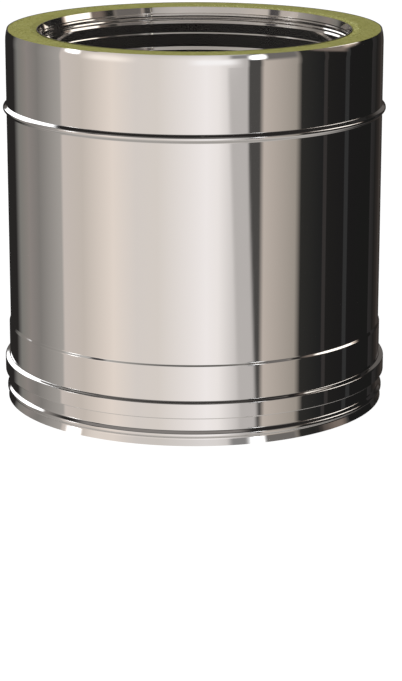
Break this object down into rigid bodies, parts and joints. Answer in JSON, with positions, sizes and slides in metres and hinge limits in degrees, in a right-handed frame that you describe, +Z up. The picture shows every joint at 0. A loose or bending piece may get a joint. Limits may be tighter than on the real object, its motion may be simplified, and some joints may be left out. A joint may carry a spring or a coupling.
{
  "type": "double-wall chimney pipe",
  "caption": "Short round chimney pipe: polished stainless jacket over a wool-insulated flue liner, with push-on sockets, a stop bead and a clamp bead.",
  "frame": {"origin": "on the pipe's axis, level with the jacket's bottom rim", "axes": "+Z up along the pipe's axis, towards the end with the liner's socket; +X and +Y across the pipe; the long welds are at the back, 17 degrees from +Y towards -X"},
  "size_m": [0.3094, 0.3094, 0.3],
  "materials": {
    "polished_stainless": "mirror-polished stainless sheet",
    "liner_stainless": "bright rolled stainless sheet",
    "mineral_wool": "raw mineral wool, cut edge",
    "spacer_steel": "mill-finish stainless strip"
  },
  "bodies": {
    "root": {"outer_jacket": "polished_stainless", "inner_liner": "liner_stainless", "wool_ring": "mineral_wool", "spacer_lower_1": "spacer_steel", "spacer_lower_2": "spacer_steel", "spacer_lower_3": "spacer_steel", "spacer_upper_1": "spacer_steel", "spacer_upper_2": "spacer_steel", "spacer_upper_3": "spacer_steel"}
  },
  "joints": []
}
